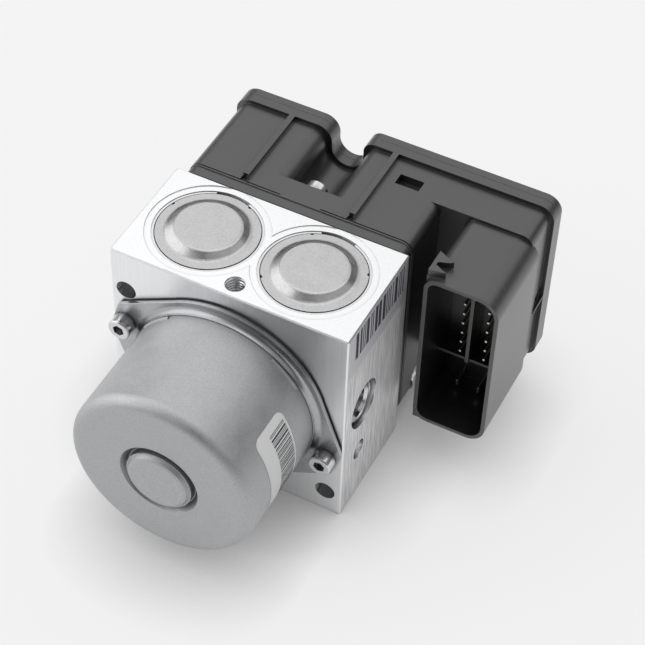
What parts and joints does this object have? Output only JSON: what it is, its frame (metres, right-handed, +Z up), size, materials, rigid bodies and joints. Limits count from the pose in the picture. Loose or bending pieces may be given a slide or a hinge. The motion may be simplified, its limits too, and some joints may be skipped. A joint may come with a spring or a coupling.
{
  "type": "abs brake module",
  "caption": "Hydraulic block with a round pump motor, spring accumulators under domed caps, solenoid valves and a black control unit with a wiring socket.",
  "frame": {"origin": "centre of the flat bottom face of the hydraulic block", "axes": "+Z up through the accumulator caps, -Y out of the pump motor, +Y towards the control unit, +X towards the wiring socket"},
  "size_m": [0.129, 0.1465, 0.0948],
  "materials": {
    "black_plastic": "fine spark-eroded texture",
    "board": "solder resist",
    "carbon": "pressed carbon",
    "commutator_copper": "turned copper",
    "copper": "enamelled copper wire",
    "core_laminations": "stacked sheet, oiled",
    "ferrite": "sintered ferrite, dark grey",
    "gasket": "matt coated sheet",
    "ground_steel": "ground",
    "holder_plastic": "moulded",
    "machined_aluminium": "machined, fine tool marks",
    "pressed_caps": "deep drawn, satin",
    "satin_sheet_steel": "satin zinc lamella coat",
    "seal_rubber": "matt",
    "spring_steel": "drawn wire",
    "steel_balls": "polished",
    "tinned_contacts": "tin plated",
    "valve_steel": "turned",
    "yoke_steel": "zinc plated",
    "zinc_screws": "bright zinc plated"
  },
  "bodies": {
    "unit": {"hydraulic_block": "machined_aluminium", "channel_plugs": "steel_balls", "motor_gasket": "gasket", "motor_flange": "satin_sheet_steel", "motor_can": "satin_sheet_steel", "motor_screws": "zinc_screws", "motor_magnets": "ferrite", "bearing_balls": "steel_balls", "bearing_outer_rings": "ground_steel", "brush_holder": "holder_plastic", "brushes": "carbon", "brush_springs": "spring_steel", "motor_terminals": "tinned_contacts", "pump_sleeves": "valve_steel", "pump_springs": "spring_steel", "pump_plugs": "zinc_screws", "accumulator_caps": "pressed_caps", "snap_rings": "spring_steel", "accumulator_spring_right": "spring_steel", "accumulator_spring_left": "spring_steel", "valve_bodies": "valve_steel", "valve_domes": "valve_steel", "coil_yokes": "yoke_steel", "coil_windings": "copper", "ecu_seal": "seal_rubber", "ecu_housing": "black_plastic", "ecu_lid": "black_plastic", "ecu_screws": "zinc_screws", "circuit_board": "board", "connector_pins": "tinned_contacts"},
    "rotor": {"rotor_shaft": "ground_steel", "armature_core": "core_laminations", "armature_winding": "copper", "commutator": "commutator_copper", "bearing_inner_rings": "ground_steel"},
    "eccentric_ring": {"eccentric_bearing": "ground_steel"},
    "piston_right": {"pump_piston_right": "ground_steel"},
    "piston_left": {"pump_piston_left": "ground_steel"},
    "accumulator_right": {"accumulator_piston_right": "machined_aluminium", "accumulator_seal_right": "seal_rubber"},
    "accumulator_left": {"accumulator_piston_left": "machined_aluminium", "accumulator_seal_left": "seal_rubber"},
    "inlet_valve_1": {"inlet_plunger_1": "valve_steel"},
    "inlet_valve_2": {"inlet_plunger_2": "valve_steel"},
    "inlet_valve_3": {"inlet_plunger_3": "valve_steel"},
    "inlet_valve_4": {"inlet_plunger_4": "valve_steel"},
    "outlet_valve_1": {"outlet_plunger_1": "valve_steel"},
    "outlet_valve_2": {"outlet_plunger_2": "valve_steel"},
    "outlet_valve_3": {"outlet_plunger_3": "valve_steel"},
    "outlet_valve_4": {"outlet_plunger_4": "valve_steel"}
  },
  "joints": [
    {"name": "rotor_spin", "type": "hinge", "parent": "unit", "child": "rotor", "pos_m": [0, -0.0079, 0.0464], "axis": [0, -1, 0], "continuous": true},
    {"name": "eccentric_ring_spin", "type": "hinge", "parent": "rotor", "child": "eccentric_ring", "pos_m": [0.0011, -0.0079, 0.0464], "axis": [0, -1, 0], "continuous": true},
    {"name": "pump_piston_right_slide", "type": "slide", "parent": "unit", "child": "piston_right", "axis": [1, 0, 0], "range_m": [0, 0.0022], "stiffness_N_per_m": 2500, "springref_m": -0.002},
    {"name": "pump_piston_left_slide", "type": "slide", "parent": "unit", "child": "piston_left", "axis": [-1, 0, 0], "range_m": [0, 0.0022], "stiffness_N_per_m": 2500, "springref_m": -0.002},
    {"name": "accumulator_piston_right_slide", "type": "slide", "parent": "unit", "child": "accumulator_right", "axis": [0, 0, 1], "range_m": [0, 0.006], "stiffness_N_per_m": 6000, "springref_m": -0.003, "deforming": ["accumulator_spring_right"]},
    {"name": "accumulator_piston_left_slide", "type": "slide", "parent": "unit", "child": "accumulator_left", "axis": [0, 0, 1], "range_m": [0, 0.006], "stiffness_N_per_m": 6000, "springref_m": -0.003, "deforming": ["accumulator_spring_left"]},
    {"name": "inlet_plunger_1_slide", "type": "slide", "parent": "unit", "child": "inlet_valve_1", "axis": [0, -1, 0], "range_m": [0, 0.00035], "stiffness_N_per_m": 1500, "springref_m": -0.001},
    {"name": "inlet_plunger_2_slide", "type": "slide", "parent": "unit", "child": "inlet_valve_2", "axis": [0, -1, 0], "range_m": [0, 0.00035], "stiffness_N_per_m": 1500, "springref_m": -0.001},
    {"name": "inlet_plunger_3_slide", "type": "slide", "parent": "unit", "child": "inlet_valve_3", "axis": [0, -1, 0], "range_m": [0, 0.00035], "stiffness_N_per_m": 1500, "springref_m": -0.001},
    {"name": "inlet_plunger_4_slide", "type": "slide", "parent": "unit", "child": "inlet_valve_4", "axis": [0, -1, 0], "range_m": [0, 0.00035], "stiffness_N_per_m": 1500, "springref_m": -0.001},
    {"name": "outlet_plunger_1_slide", "type": "slide", "parent": "unit", "child": "outlet_valve_1", "axis": [0, 1, 0], "range_m": [0, 0.00035], "stiffness_N_per_m": 1500, "springref_m": -0.001},
    {"name": "outlet_plunger_2_slide", "type": "slide", "parent": "unit", "child": "outlet_valve_2", "axis": [0, 1, 0], "range_m": [0, 0.00035], "stiffness_N_per_m": 1500, "springref_m": -0.001},
    {"name": "outlet_plunger_3_slide", "type": "slide", "parent": "unit", "child": "outlet_valve_3", "axis": [0, 1, 0], "range_m": [0, 0.00035], "stiffness_N_per_m": 1500, "springref_m": -0.001},
    {"name": "outlet_plunger_4_slide", "type": "slide", "parent": "unit", "child": "outlet_valve_4", "axis": [0, 1, 0], "range_m": [0, 0.00035], "stiffness_N_per_m": 1500, "springref_m": -0.001}
  ]
}
